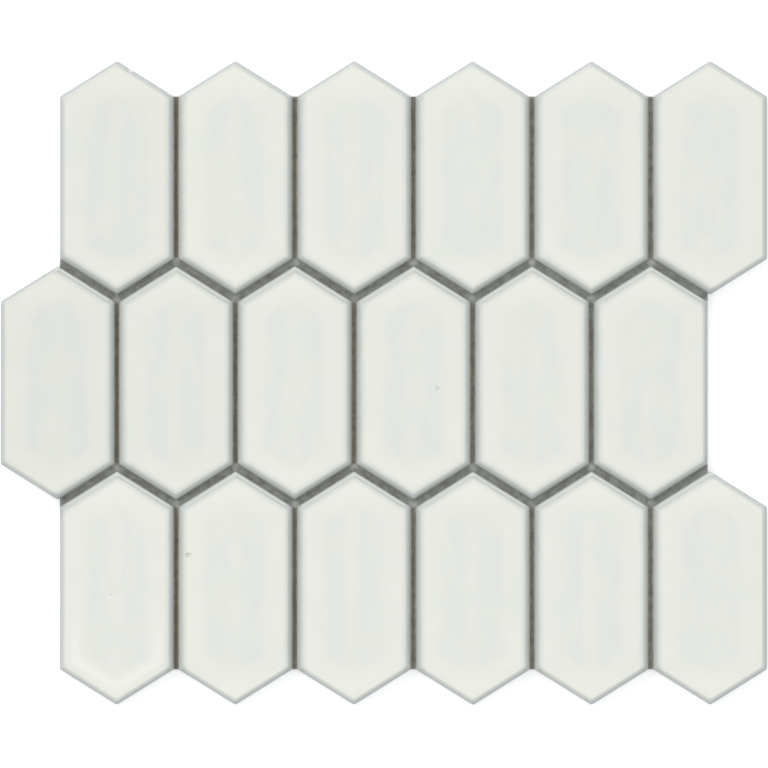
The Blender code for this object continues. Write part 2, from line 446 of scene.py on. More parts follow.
EVEN_SHADE_BAND = {"Full": 0.0023, "Reach": 0.0054, "Patch size": 0.01, "Patchiness": 0.3}
SHADE_LINE = {"Full": 0.0008, "Reach": 0.0018, "Patch size": 0.002, "Patchiness": 0.6}
SHADE_SHARES = (0.55, 0.72)  # of the even band of painted shade: the least, and on the slopes to the left
LINE_SHARE = 0.9
# Where the painted highlight on the upper rims lies: its share on the right and on the left, how
# far it reaches from the grout, and how far in from the outline.
RIM_HIGHLIGHT_SHARES = (0.70, 0.25)  # on the right and on the left
RIM_HIGHLIGHT_REACH = (0.0026, 0.0032)  # from the grout
HIGHLIGHT_RIM = (0.0009, 0.0014)
MIDDLE_ACROSS = (-0.003, 0.003)
SLOPES_ALONG = (0.0320, 0.0340)
UPPER_ALONG = (0.0325, 0.0345)
SCUFF_REACH = (0.0006, 0.0017)  # from its middle
SCUFF_NOISE = {"Scale": 800, "Detail": 1, "Distortion": 1.5}
SCUFF_SPAN = (0.47, 0.58)  # of the noise
SCUFF_AND_SHADE_SHARE = 0.85  # of its grey

GLAZE_LINE = 0.0030  # its height on the side of a tile
LINE_WANDER = 0.0004
LINE_PATCH = 0.006
LINE_BLUR = 0.00008
CHIP_RADIUS = 0.0017
CHIP_RIM = (CHIP_RADIUS * 1.02, CHIP_RADIUS * 1.04)  # from the middle of the ball
CLAY_ROUGHNESS = 0.84
GLAZE_ROUGHNESS = 0.08
SHADED_EDGE_ROUGHENS = 0.12  # by which it adds to the roughness of the glaze
SCUFF_ROUGHENS = 0.4
CLAY_GRAIN = 0.00035
RIPPLE_SIZE = 0.004
RIPPLE_HEIGHT = 0.000004


def glaze_colour(tree, place, edge, tone):
    """The colour of the glaze: thin on the edge and painted greyer there with its shade, creamy
    inside it, cooler in a streaky panel with a lighter ridge along its middle, and with a painted
    cream reflection in a band near the lower end."""
    body = blend_colours(tree, mottled(tree, place, CLOUD_SIZE, tone), GLAZE_WHITE, GLAZE_CREAM)
    drawn = vector_maths(tree, "MULTIPLY", place, STREAK_SQUEEZE)
    streaks = between(tree, mottled(tree, drawn, STREAK_SIZE, tone), *STREAK_SHARES)
    aside = maths(tree, "SUBTRACT", part_of(tree, place, "X"), RIDGE_PLACE)
    ridge = times(tree, fall(tree, maths(tree, "ABSOLUTE", aside), *RIDGE_WIDTH),
                  between(tree, maths(tree, "FRACT", tone), *RIDGE_SHARES))
    panel = times(tree, rise(tree, edge, *PANEL_EDGE), without(tree, ridge), streaks)
    along = part_of(tree, place, "Y")
    point = rise(tree, maths(tree, "ABSOLUTE", along), *POINT_ALONG)
    band = times(tree, rise(tree, edge, *GLEAM_OUTER), fall(tree, edge, *GLEAM_INNER))
    gleam = times(tree, band, fall(tree, along, *GLEAM_ALONG), attribute(tree, "pooled"))
    body = lay_over(tree, body, (panel, GLAZE_COOL), (point, GLAZE_POINT), (gleam, GLAZE_GLEAM))
    white = between(tree, attribute(tree, "kiln_grey"), 1, 1 - SHEET_GREYING)
    body = vector_maths(tree, "MULTIPLY", body, white)
    # Over the edge the glaze is thin, and it is painted greyer there with the edge's shade.
    return blend_colours(tree, rise(tree, edge, *THIN_AND_SHADED_EDGE), GLAZE_THIN_AND_SHADED, body)


def joint_shade_and_highlight(tree, place, edge):
    """Painted shade and a painted highlight beside the joints. The shade is an even band, most on
    the slopes to the left, and a broken line at the very edge, pale on the long sides and grey on
    the slopes. The shade keeps off the rims of the upper ends, and a pale painted highlight lies
    along them, most on the slope to the right."""
    from_grout = attribute(tree, "from_grout")
    even, line = [place_group(tree, joint_shade, {"Position": place, "Distance": from_grout, **shade_kind})[0]
                  for shade_kind in (EVEN_SHADE_BAND, SHADE_LINE)]
    along = part_of(tree, place, "Y")
    left = fall(tree, part_of(tree, place, "X"), *MIDDLE_ACROSS)
    sloping = rise(tree, maths(tree, "ABSOLUTE", along), *SLOPES_ALONG)
    highlighted_rim = times(tree, rise(tree, along, *UPPER_ALONG), fall(tree, edge, *HIGHLIGHT_RIM))
    kept = without(tree, highlighted_rim)
    broad = times(tree, even, between(tree, times(tree, sloping, left), *SHADE_SHARES), kept)
    narrow = times(tree, line, LINE_SHARE, kept)
    rim_highlight = times(tree, highlighted_rim, fall(tree, from_grout, *RIM_HIGHLIGHT_REACH),
                 between(tree, left, *RIM_HIGHLIGHT_SHARES))
    return broad, narrow, rim_highlight, sloping


def away_from(tree, place, name):
    """How far it is to the place that the mesh keeps under this name."""
    return vector_maths(tree, "DISTANCE", place, attribute(tree, name, "Vector"), "Value")


def scuff_and_shade_strokes(tree, place):
    """A few grey strokes around a place: where metal has rubbed the glaze, and on one tile as
    painted shade for a small bump under the glaze.
    """
    near = fall(tree, away_from(tree, place, "scuff_place"), *SCUFF_REACH)
    noise = add_node(tree, "ShaderNodeTexNoise", {"Vector": place, **SCUFF_NOISE}).outputs[0]
    return times(tree, near, rise(tree, noise, *SCUFF_SPAN))


def clay_finish(tree, place):
    grains = place_group(tree, sand, {"Position": place, "Grain size": CLAY_GRAIN})
    return blend_colours(tree, grains["Lightness"], CLAY_DARK, CLAY_LIGHT), grains["Height"]


def dent(tree, shader, height):
    """Shades the surface as if it had these heights, in metres."""
    bump = add_node(tree, "ShaderNodeBump", {"Height": height, "Distance": 1})
    tree.links.new(bump.outputs["Normal"], shader["Normal"])


def make_glaze():
    material, tree, shader = start_material("fired_glaze", IOR=1.52)
    place = attribute(tree, "in_tile", "Vector")
    edge = attribute(tree, "edge_distance")
    tone = attribute(tree, "tile_tone")
    clay, clay_height = clay_finish(tree, place)
    line = between(tree, mottled(tree, place, LINE_PATCH, tone),
                   GLAZE_LINE - LINE_WANDER, GLAZE_LINE + LINE_WANDER)
    above = maths(tree, "SUBTRACT", part_of(tree, place, "Z"), line)
    glazed = rise(tree, above, -LINE_BLUR, LINE_BLUR)
    colour = blend_colours(tree, glazed, clay, glaze_colour(tree, place, edge, tone))
    # Painted shade beside the joints, and a painted highlight along the upper rims.
    broad, narrow, rim_highlight, sloping = joint_shade_and_highlight(tree, place, edge)
    edge_line_colour = blend_colours(tree, sloping, EDGE_LINE_PALE, JOINT_SHADE_GREY)
    scuff_and_shade = scuff_and_shade_strokes(tree, place)
    colour = lay_over(tree, colour, (broad, JOINT_SHADE_GREY), (narrow, edge_line_colour), (rim_highlight, RIM_HIGHLIGHT_WHITE),
                      (times(tree, scuff_and_shade, SCUFF_AND_SHADE_SHARE), SCUFF_AND_SHADE_GREY))
    whole = rise(tree, away_from(tree, place, "chip_place"), *CHIP_RIM)
    tree.links.new(blend_colours(tree, whole, SLIP_WHITE, colour), shader["Base Color"])
    gloss = times(tree, glazed, whole)
    dull = maths(tree, "MAXIMUM", times(tree, scuff_and_shade, SCUFF_ROUGHENS),
                 times(tree, maths(tree, "MAXIMUM", broad, narrow), SHADED_EDGE_ROUGHENS))
    rough = maths(tree, "ADD", dull, between(tree, gloss, CLAY_ROUGHNESS, GLAZE_ROUGHNESS))
    tree.links.new(rough, shader["Roughness"])
    ripple = times(tree, mottled(tree, place, RIPPLE_SIZE, tone), RIPPLE_HEIGHT)
    bare = times(tree, clay_height, without(tree, gloss))
    dent(tree, shader, maths(tree, "ADD", ripple, bare))
    return material


glaze = make_glaze()
print("The glaze ends about", GLAZE_LINE * 1000, "mm above the wall")

# %% [markdown]
# ## Grout, glass fibre and glue
#
# Grout is cement and fine sand, quite matt. Its colour also carries painted shade and painted
# light. In the narrow side joints it is dark and brown, painted darker for the shade in them, and
# paler along the tiles, so that the painted shade lies in the middle of each joint. Where the
# sloping ends leave more room it is a lighter, greyer sand, and it is painted lightest where three
# joints meet and lie most open to the light. It is also lighter and greyer towards the right of the
# sheet. The width of the gap and the distances from such a crossing and from the tile are
# attributes on its mesh, so colour follows the joint. Every sand grain that stands out of the
# surface has a lightness of its own.
#
# The net is bundles of glass filaments. A fine streak along each yarn is enough at its size.
# The glue is a milky dispersion that dries half clear.

# %% Make the other finishes
# The narrow joints, painted dark with the shade that falls in them.
NARROW_SHADED_LEFT = (0.152, 0.133, 0.086, 1)
NARROW_SHADED_RIGHT = (0.239, 0.244, 0.202, 1)
WIDE_LEFT = (0.287, 0.298, 0.266, 1)
WIDE_RIGHT = (0.309, 0.323, 0.291, 1)
# Paler beside the tiles, so that the painted shade lies in the middle of a narrow joint, and
# painted light where three joints meet.
JOINT_EDGE_PALE = (0.475, 0.445, 0.360, 1)
GROUT_CROSSING_LIT = (0.478, 0.486, 0.445, 1)
SAND_DARK = (0.09, 0.08, 0.07, 1)
SAND_LIGHT = (0.42, 0.41, 0.37, 1)
FIBRE_LIGHT = (0.80, 0.80, 0.76, 1)
FIBRE_DARK = (0.62, 0.62, 0.58, 1)
GLUE_THICK = (0.84, 0.84, 0.80, 1)
GLUE_THIN = (0.70, 0.69, 0.64, 1)
ACROSS_SHEET = (-0.11, 0.12)  # across the sheet
PALE_EDGE_WIDTH = (0.0001, 0.0005)
WIDE_GAPS = (0.0010, 0.0017)
CROSSING_REACH = (0.0006, 0.0024)
DAMP_PATCH = 0.003
DAMP_SHARE = 0.6  # of the dark of its sand, at most
SAND_GRAIN = 0.0003
SAND_SPREAD = (-0.25, 0.25)
MIDDLE_TONE = 0.5
DARK_GRAINS = 0.9  # how much it shows that a grain is darker than the middle tone
LIGHT_GRAINS = 0.7
FIBRE_RELIEF = 0.00003
GLUE_PATCH = 0.003
GLUE_RELIEF = 0.00006


def object_place(tree):
    return add_node(tree, "ShaderNodeTexCoord").outputs["Object"]


def make_grout():
    material, tree, shader = start_material("sandy_grout", Roughness=0.92, IOR=1.5)
    place = object_place(tree)
    rightward = rise(tree, part_of(tree, place, "X"), *ACROSS_SHEET)
    # Painted shade in the narrow joints, paler beside the tiles, and painted light at the
    # crossings.
    narrow = blend_colours(tree, rightward, NARROW_SHADED_LEFT, NARROW_SHADED_RIGHT)
    pale_edge = fall(tree, attribute(tree, "beside"), *PALE_EDGE_WIDTH)
    narrow = blend_colours(tree, pale_edge, narrow, JOINT_EDGE_PALE)
    sandy = blend_colours(tree, rightward, WIDE_LEFT, WIDE_RIGHT)
    wide = rise(tree, attribute(tree, "gap"), *WIDE_GAPS)
    lit_crossing = fall(tree, attribute(tree, "crossing"), *CROSSING_REACH)
    damp = times(tree, mottled(tree, place, DAMP_PATCH), DAMP_SHARE)
    grains = place_group(tree, sand, {"Position": place, "Grain size": SAND_GRAIN})
    spread = between(tree, grains["Lightness"], *SAND_SPREAD)
    tone = maths(tree, "ADD", attribute(tree, "grain_tone"), spread)
    dark = times(tree, maths(tree, "SUBTRACT", MIDDLE_TONE, tone), DARK_GRAINS)
    light = times(tree, maths(tree, "SUBTRACT", tone, MIDDLE_TONE), LIGHT_GRAINS)
    colour = lay_over(tree, narrow, (wide, sandy), (lit_crossing, GROUT_CROSSING_LIT), (damp, SAND_DARK),
                      (maths(tree, "MAXIMUM", dark, 0), SAND_DARK),
                      (maths(tree, "MAXIMUM", light, 0), SAND_LIGHT))
    tree.links.new(colour, shader["Base Color"])
    dent(tree, shader, grains["Height"])
    return material


def make_fibre():
    material, tree, shader = start_material("glass_fibre", Roughness=0.5, IOR=1.5)
    noise = {"W": attribute(tree, "around"), "Scale": 6, "Detail": 3}
    streaks = add_node(tree, "ShaderNodeTexNoise", noise, noise_dimensions="1D").outputs[0]
    tree.links.new(blend_colours(tree, streaks, FIBRE_DARK, FIBRE_LIGHT), shader["Base Color"])
    dent(tree, shader, times(tree, streaks, FIBRE_RELIEF))
    return material


def make_glue():
    material, tree, shader = start_material("dried_glue", Roughness=0.35, IOR=1.48)
    patches = mottled(tree, object_place(tree), GLUE_PATCH)
    tree.links.new(blend_colours(tree, patches, GLUE_THIN, GLUE_THICK), shader["Base Color"])
    dent(tree, shader, times(tree, patches, GLUE_RELIEF))
    return material


grout_finish = make_grout()
fibre_finish = make_fibre()
glue_finish = make_glue()
print("Finishes:", [item.name for item in (glaze, grout_finish, fibre_finish, glue_finish)])

# %% [markdown]
# ## The outline of a picket
#
# Every ring of the tile, and the inner edge of the grout around it, is the same long hexagon
# pulled in or out, with an arc at each corner. Rings join well only if they have the same
# number of points in the same order, so the outline takes its straight stretches in a fixed
# number of steps. It starts at the upper point and runs counter-clockwise.

# %% Draw the outline
CORNER_STEPS = 8  # an even number, so that a point lies in the middle of each corner
TILE_STEP = 0.0030


def hexagon(point, side, shoulder):
    """Its corners, from the upper point on, counter-clockwise."""
    left = [(0, point), (-side, shoulder), (-side, -shoulder)]
    return [Vector(corner) for corner in left] + [-Vector(corner) for corner in left]


def corners_of(inset):
    side = TILE_WIDTH / 2 - inset
    point = TILE_LENGTH / 2 - inset / math.cos(END_SLOPE)
    return hexagon(point, side, point - side * math.tan(END_SLOPE))


def steps_along_sides(step):
    """In how many steps of about this length the outline takes each of its six sides."""
    corners = corners_of(0)
    lengths = [(corners[(i + 1) % 6] - corners[i]).length for i in range(6)]
    return [round(length / step) for length in lengths]


def picket_outline(inset, radius, side_steps):
    corners = corners_of(inset)
    points = []
    for i, corner in enumerate(corners):
        into = (corner - corners[i - 1]).normalized()
        out = (corners[(i + 1) % 6] - corner).normalized()
        turn = math.acos(into.dot(out))
        start = corner - into * radius * math.tan(turn / 2)
        centre = start + Vector((-into.y, into.x)) * radius
        for step in range(CORNER_STEPS + 1):
            turned = Matrix.Rotation(turn * step / CORNER_STEPS, 2)
            points.append(centre + turned @ (start - centre))
    outline = []
    for i, count in enumerate(side_steps):
        arc = points[i * (CORNER_STEPS + 1):(i + 1) * (CORNER_STEPS + 1)]
        after = points[(i + 1) * (CORNER_STEPS + 1) % len(points)]
        outline += arc
        outline += [arc[-1].lerp(after, step / count) for step in range(1, count)]
    half_arc = CORNER_STEPS // 2
    return outline[half_arc:] + outline[:half_arc]


TILE_STEPS = steps_along_sides(TILE_STEP)
print("The outline has", len(picket_outline(0, CORNER_RADIUS, TILE_STEPS)), "points")

# %% [markdown]
# ## The pressed tile
#
# A press leaves a body with drafted sides, a small chamfer round the back and grooves in it,
# and the glaze turns its upper edge into a cushion. That is a loft: rings of the outline, each
# with its inset and height, joined by strips of faces. Bevelling a hexagon would round the edge
# too, but it can't give the wide, flattening curve of a glazed edge or its growing corners.
#
# The height of the face is an ellipse over the edge plus a very low crown, so that the slope
# never jumps and reflections run over the edge without a crease.

# %% Loft the tile
EDGE_STEPS = 12
SIDE_RINGS = 4
FACE_INSETS = (0.0033, 0.0044, 0.0058, 0.0075, 0.0095, 0.0120, 0.0148, 0.0176, 0.0202)


def face_height(inset):
    """Of the glazed surface, at this distance in from the widest outline."""
    edge = 1 - min(inset / EDGE_REACH, 1)
    crown = 1 - min(inset / CROWN_REACH, 1)
    return WIDEST_HEIGHT + EDGE_DROP * math.sqrt(1 - edge ** 2) + FACE_CROWN * (1 - crown ** 2)


def tile_rings():
    """Inset, corner radius, height and distance from the edge of each ring, from the back up."""
    rings = [(SIDE_DRAFT + BACK_CHAMFER, CORNER_RADIUS, BACK_HEIGHT)]
    for ring in range(SIDE_RINGS):
        share = ring / SIDE_RINGS
        bottom = BACK_HEIGHT + BACK_CHAMFER
        height = bottom + (WIDEST_HEIGHT - bottom) * share
        rings.append((SIDE_DRAFT * (1 - share), CORNER_RADIUS, height))
    for step in range(EDGE_STEPS + 1):
        inward = 1 - math.cos(math.pi / 2 * step / EDGE_STEPS)
        radius = CORNER_RADIUS + (FACE_CORNER_RADIUS - CORNER_RADIUS) * inward
        rings.append((EDGE_REACH * inward, radius, face_height(EDGE_REACH * inward)))
    rings += [(inset, FACE_CORNER_RADIUS, face_height(inset)) for inset in FACE_INSETS]
    return rings


def join_rings(form, rings):
    """Strips of faces from each ring of points to the one above it."""
    for lower, upper in zip(rings, rings[1:]):
        for i in range(len(lower)):
            form.faces.new((lower[i - 1], lower[i], upper[i], upper[i - 1]))


def close_ring(form, ring, upwards):
    """Fills a ring that is alike left and right with strips from side to side."""
    count = len(ring)
    for i in range(count // 2):
        corners = [ring[i], ring[i + 1], ring[-i - 1], ring[-i % count]]
        corners = list(dict.fromkeys(corners))
        form.faces.new(corners if upwards else reversed(corners))


def loft_tile(name):
    form = bmesh.new()
    edge_distance = form.verts.layers.float.new("edge_distance")
    rings = []
    for inset, radius, height in tile_rings():
        ring = [form.verts.new((*point, height))
                for point in picket_outline(inset, radius, TILE_STEPS)]
        for vertex in ring:
            vertex[edge_distance] = inset if height >= WIDEST_HEIGHT else 0
        rings.append(ring)
    join_rings(form, rings)
    close_ring(form, rings[0], upwards=False)
    close_ring(form, rings[-1], upwards=True)
    return put_down(form, name)


pressed = loft_tile("pressed_tile")
print("The pressed tile has", len(pressed.data.polygons), "faces")

# %% [markdown]
# ## The grooves in its back
#
# Grooves key the back into its glue. A real die gives them sloping walls and round ends, so
# that the clay lets go. Each cutter is a small loft of round-ended outlines, and a Boolean
# takes all four out of the pattern tile at once, before it is copied.

# %% Press the grooves
KEY_COUNT = 4
KEY_WIDTH = 0.0030
KEY_DEPTH = 0.0006
KEY_SPACING = 0.0092
KEY_MARGIN = 0.0050
KEY_DRAFT = 0.0003
KEY_OVERSHOOT = 0.0005
SHARP_ANGLE = math.radians(38)


def slot_outline(middle, half_length, radius):
    """A long slot with half round ends, along Y."""
    points = []
    for end in (1, -1):
        for step in range(CORNER_STEPS + 1):
            angle = math.pi * step / CORNER_STEPS + (0 if end > 0 else math.pi)
            points.append((middle + radius * math.cos(angle),
                           end * (half_length - radius) + radius * math.sin(angle)))
    return points


def groove_cutter():
    form = bmesh.new()
    for i in range(KEY_COUNT):
        middle = (i - (KEY_COUNT - 1) / 2) * KEY_SPACING
        outer = abs(middle) + KEY_WIDTH / 2
        end = TILE_LENGTH / 2 - outer * math.tan(END_SLOPE) - KEY_MARGIN / math.cos(END_SLOPE)
        rings = []
        for drop, height in ((0, BACK_HEIGHT - KEY_OVERSHOOT),
                             (0, BACK_HEIGHT), (KEY_DRAFT, BACK_HEIGHT + KEY_DEPTH)):
            outline = slot_outline(middle, end - drop, KEY_WIDTH / 2 - drop)
            rings.append([form.verts.new((*point, height)) for point in outline])
        join_rings(form, rings)
        form.faces.new(reversed(rings[0]))
        form.faces.new(rings[-1])
    return put_down(form, "groove_cutter")


def settle(item):
    """Turns an object with its modifiers into a plain mesh, with its attributes, and drops the
    empty material slots that joined geometry brings along."""
    depsgraph = bpy.context.evaluated_depsgraph_get()
    shaped = item.evaluated_get(depsgraph)
    mesh = bpy.data.meshes.new_from_object(shaped, preserve_all_data_layers=True,
                                           depsgraph=depsgraph)
    for slot in reversed(range(len(mesh.materials))):
        if mesh.materials[slot] is None:
            mesh.materials.pop(index=slot)
    item.modifiers.clear()
    item.data = mesh
    return item


def cut_with(item, cutter):
    cut = item.modifiers.new("cut", "BOOLEAN")
    cut.operation = "DIFFERENCE"
    cut.object = cutter
    settle(item)
    bpy.data.objects.remove(cutter)


cut_with(pressed, groove_cutter())
pressed.data.shade_smooth()
pressed.data.set_sharp_from_angle(angle=SHARP_ANGLE)
print("With its grooves it has", len(pressed.data.polygons), "faces")

# %% [markdown]
# ## Firing and laying the tiles
#
# No two fired tiles are alike: the kiln bends each a little, the glaze settles in shallow waves,
# and the hand that lays them leaves each slightly turned. A Geometry Nodes tree does all that
# to the pattern tile, from named inputs: it keeps the place on the tile as an attribute for the
# glaze, raises the surface by noise, and then turns, tilts and moves the tile to its own place,
# where it measures how far the grout is. It is run once for each tile, so every tile stays a
# piece of its own.

# %% Build the tree that fires and lays a tile
WAVED_SURFACE = (0.2, 0.95)  # how far up it faces: none of the wave, and all of it
NOISE_MIDDLE = 0.5


def start_tree(name, **inputs):
    """A tree that changes geometry. Its inputs are given by kind, and one is for the finish."""
    sockets = {"Geometry": "Geometry", "Finish": "Material"}
    for kind, names in inputs.items():
        sockets.update(dict.fromkeys(names, kind))
    return new_tree(name, "GeometryNodeTree", sockets, {"Geometry": "Geometry"})


def shape(tree, kind, values=None, **settings):
    """What a geometry node of this kind puts out first."""
    return add_node(tree, "GeometryNode" + kind, values, **settings).outputs[0]


def end_tree(tree, given, made, geometry):
    """Makes instances real and gives everything its finish, as the end of a tree."""
    real = shape(tree, "RealizeInstances", {0: geometry})
    done = shape(tree, "SetMaterial", {"Geometry": real, "Material": given["Finish"]})
    tree.links.new(done, made.inputs[0])
    return tree


def store(tree, geometry, name, value):
    """Keeps a number or a vector on the geometry as an attribute."""
    kind = "FLOAT_VECTOR" if getattr(value, "type", "") == "VECTOR" else "FLOAT"
    values = {"Geometry": geometry, "Name": name, "Value": value}
    return shape(tree, "StoreNamedAttribute", values, data_type=kind)


def lift(tree, geometry, height, where=True):
    offset = combine(tree, {"Z": height})
    return shape(tree, "SetPosition", {0: geometry, "Selection": where, "Offset": offset})


def uneven(tree, field, height):
    """Noise as a height, as far down as up."""
    return times(tree, maths(tree, "SUBTRACT", field, NOISE_MIDDLE), height)


def facing_up(tree):
    return part_of(tree, shape(tree, "InputNormal"), "Z")


def shape_of(tree, item):
    return add_node(tree, "GeometryNodeObjectInfo", {"Object": item}).outputs["Geometry"]


def build_firing():
    tree, given, made = start_tree(
        "fire_and_lay", Vector=["Centre", "Turn", "Chip", "Scuff and shade"], Object=["Grout"],
        Float=["Seed", "Wave height", "Wave size", "Tone", "Grey", "Gleam"])
    position = shape(tree, "InputPosition")
    tile = given["Geometry"]
    told = {"in_tile": position, "chip_place": given["Chip"], "scuff_place": given["Scuff and shade"],
            "tile_tone": given["Tone"], "kiln_grey": given["Grey"], "pooled": given["Gleam"]}
    for name, value in told.items():
        tile = store(tree, tile, name, value)
    values = {"Vector": position, "W": given["Seed"], "Detail": 1}
    field = noise_field(tree, given["Wave size"], values, noise_dimensions="4D")
    wave = times(tree, uneven(tree, field, given["Wave height"]),
                 rise(tree, facing_up(tree), *WAVED_SURFACE))
    tile = lift(tree, tile, wave)
    tile = shape(tree, "Transform", {"Geometry": tile, "Translation": given["Centre"],
                                     "Rotation": given["Turn"]})
    near = add_node(tree, "GeometryNodeProximity", {0: shape_of(tree, given["Grout"])})
    tile = store(tree, tile, "from_grout", near.outputs["Distance"])
    return end_tree(tree, given, made, tile)


def run_tree(item, tree, values):
    """Shapes the object with the tree. Inputs are set by identifier, before it is evaluated."""
    modifier = item.modifiers.new(tree.name, "NODES")
    modifier.node_group = tree
    for socket in tree.interface.items_tree:
        if socket.in_out == "INPUT" and socket.name in values:
            modifier[socket.identifier] = values[socket.name]
    return settle(item)


firing = build_firing()
print("The tree", firing.name, "has", len(firing.nodes), "nodes")

# %% [markdown]
# The shifts and turns are small: less than a tenth of a millimetre and about a tenth of a degree,
# which is what the joints of such a sheet allow before they look uneven.
#
# A chip in glaze is shell-shaped, so a Boolean takes a piece of a ball out of the rim of the one
# chipped tile.

# %% Fire and lay the eighteen tiles
SHIFT = 0.00007
TURN = math.radians(0.07)
TILT = math.radians(0.10)
WAVE_HEIGHT = 0.00010
WAVE_SIZE = 0.022
NOWHERE = (1, 1, 1)  # far from any tile
GREYEST_PLACE = Vector((-0.145, 0.035))  # on the sheet
GREY_REACH = 0.10
UPPER_GREY = 0.21  # of the two upper rows
TONES = 50  # so far apart that no two tiles have the same clouds and streaks
# How much of the painted cream reflection each tile carries: at most this, and all of it on one
# tile.
LITTLE_GLEAM = 0.3  # at most, on all tiles but one
GLEAMING_TILE = "tile_row3_1"
CHIPPED_TILE = "tile_row1_1"
CHIP_ALONG = 0.0056  # from the middle of the chipped tile, on the slope to its right
CHIP_OUT = 0.00040  # from the widest outline to the middle of the ball
CHIP_HEIGHT = 0.0076
# Where the scuffs are on their tiles, and a height above the face that makes one fainter. The spot
# on tile_row2_4 is painted shade, standing in for the shaded side of a small bump under the glaze.
SCUFFS_AND_BUMP_SHADE = {"tile_row2_4": (0.0093, -0.0022, 0), "tile_row3_1": (-0.0020, -0.0023, 0.0008),
          "tile_row3_2": (-0.0191, 0.0136, 0)}


def chip_middle():
    slope = Vector((math.sin(END_SLOPE), math.cos(END_SLOPE)))
    rim = Vector((CHIP_ALONG, TILE_LENGTH / 2 - CHIP_ALONG * math.tan(END_SLOPE)))
    return (*(rim + slope * CHIP_OUT), CHIP_HEIGHT)


def chip_rim(tile):
    form = bmesh.new()
    bmesh.ops.create_icosphere(form, subdivisions=4, radius=CHIP_RADIUS,
                               matrix=Matrix.Translation(chip_middle()))
    cut_with(tile, put_down(form, "ball"))
    tile.data.set_sharp_from_angle(angle=SHARP_ANGLE)


def kiln_grey(centre):
    """How much greyer a tile is, from 0 in the lowest row to 1 at the greyest place."""
    near = max(0.0, 1 - (centre - GREYEST_PLACE).length / GREY_REACH)
    return near + (UPPER_GREY if centre.y > -ROW_PITCH / 2 else 0.0)


def lay_tile(name, number):
    draw = random.Random(number)
    tile = put_in_scene("glazed_" + name, pressed.data)
    chipped = name == CHIPPED_TILE
    if chipped:
        chip_rim(tile)
    scuff_and_shade = NOWHERE
    if name in SCUFFS_AND_BUMP_SHADE:
        scuff_and_shade = tuple(Vector(SCUFFS_AND_BUMP_SHADE[name]) + Vector((0, 0, FACE_HEIGHT)))
    shift = Vector((draw.uniform(-SHIFT, SHIFT), draw.uniform(-SHIFT, SHIFT)))
    turn = (draw.uniform(-TILT, TILT), draw.uniform(-TILT, TILT), draw.uniform(-TURN, TURN))
    run_tree(tile, firing, {
        "Centre": (*(centres[name] + shift), 0), "Turn": turn, "Seed": float(number),
        "Wave height": WAVE_HEIGHT, "Wave size": WAVE_SIZE, "Tone": draw.uniform(0, TONES),
        "Grey": kiln_grey(centres[name]),
        "Gleam": 1.0 if name == GLEAMING_TILE else draw.uniform(0, LITTLE_GLEAM),
        "Chip": chip_middle() if chipped else NOWHERE, "Scuff and shade": scuff_and_shade,
        "Grout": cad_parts["joint_grout"], "Finish": glaze})
    return tile


tiles = {}
for number, name in enumerate(tile_names):
    tiles[name] = lay_tile(name, number)
bpy.data.objects.remove(pressed)
print(len(tiles), "tiles of", len(tiles[tile_names[0]].data.polygons), "faces")

# %% [markdown]
# ## The surface of the grout
#
# Grout is one connected body: a web of joints that are wiped hollow. Around each tile runs half
# a joint, from inside the tile's side out to the line halfway to its neighbour. These halves
# are lofted like the tile, from its outline to the corners where three tiles meet, and since
# the steps along a shared line are even, the halves of two tiles meet point to point and merge.
# Cutting joints out of a block would leave long thin triangles that can't take the sand.

# %% Spread the grout
GROUT_STEP = 0.0007
GROUT_SEAT = 0.00015  # by which it reaches into the side of a tile
GROUT_SAG = 0.0005
RING_SHARES = (0, 0.1, 0.25, 0.45, 0.7, 1)  # from the tile's side to the middle of the joint
SAME_POINT = 0.000005
NEAR_CENTRE = 0.001
GROUT_STEPS = steps_along_sides(GROUT_STEP)


def meeting_points():
    """Where the middle lines of the joints around a tile meet, seen from its centre."""
    slope = COLUMN_PITCH / 2 * math.tan(END_SLOPE)
    return hexagon((ROW_PITCH + slope) / 2, COLUMN_PITCH / 2, (ROW_PITCH - slope) / 2)


def is_centre(place):
    """Whether a tile has its middle here. A neighbour has it at the sum of their joint's ends."""
    return any((place - centre).length < NEAR_CENTRE for centre in centres.values())


def spread_half_joint(form, layers, centre, inner, outer):
    """Faces between two rows of points, falling to the middle of the joint."""
    gap, crossing, beside = layers
    rows = []
    for near, far in zip(inner, outer):
        row = []
        for share in RING_SHARES:
            drop = GROUT_SAG * (1 - (1 - share) ** 2)
            point = near.lerp(far, share)
            vertex = form.verts.new((*(centre + point), GROUT_HIGH.z - drop))
            vertex[gap] = (far - near).length - GROUT_SEAT
            vertex[crossing] = min((point - end).length for end in (outer[0], outer[-1]))
            vertex[beside] = (point - near).length - GROUT_SEAT
            row.append(vertex)
        rows.append(row)
    for row, after in zip(rows, rows[1:]):
        for i in range(len(RING_SHARES) - 1):
            form.faces.new((row[i], row[i + 1], after[i + 1], after[i]))


def spread_grout():
    form = bmesh.new()
    layers = [form.verts.layers.float.new(name) for name in ("gap", "crossing", "beside")]
    inner = picket_outline(GROUT_SEAT, CORNER_RADIUS - GROUT_SEAT, GROUT_STEPS)
    inner.append(inner[0])
    ends = meeting_points()
    for centre in centres.values():
        start = 0
        for side, steps in enumerate(GROUT_STEPS):
            count = steps + CORNER_STEPS
            near = inner[start:start + count + 1]
            first, last = ends[side], ends[(side + 1) % 6]
            far = [first.lerp(last, i / count) for i in range(count + 1)]
            if is_centre(centre + first + last):
                spread_half_joint(form, layers, centre, near, far)
            start += count
    bmesh.ops.remove_doubles(form, verts=form.verts, dist=SAME_POINT)
    return form


grout_form = spread_grout()
print("The joints have", len(grout_form.faces), "faces")

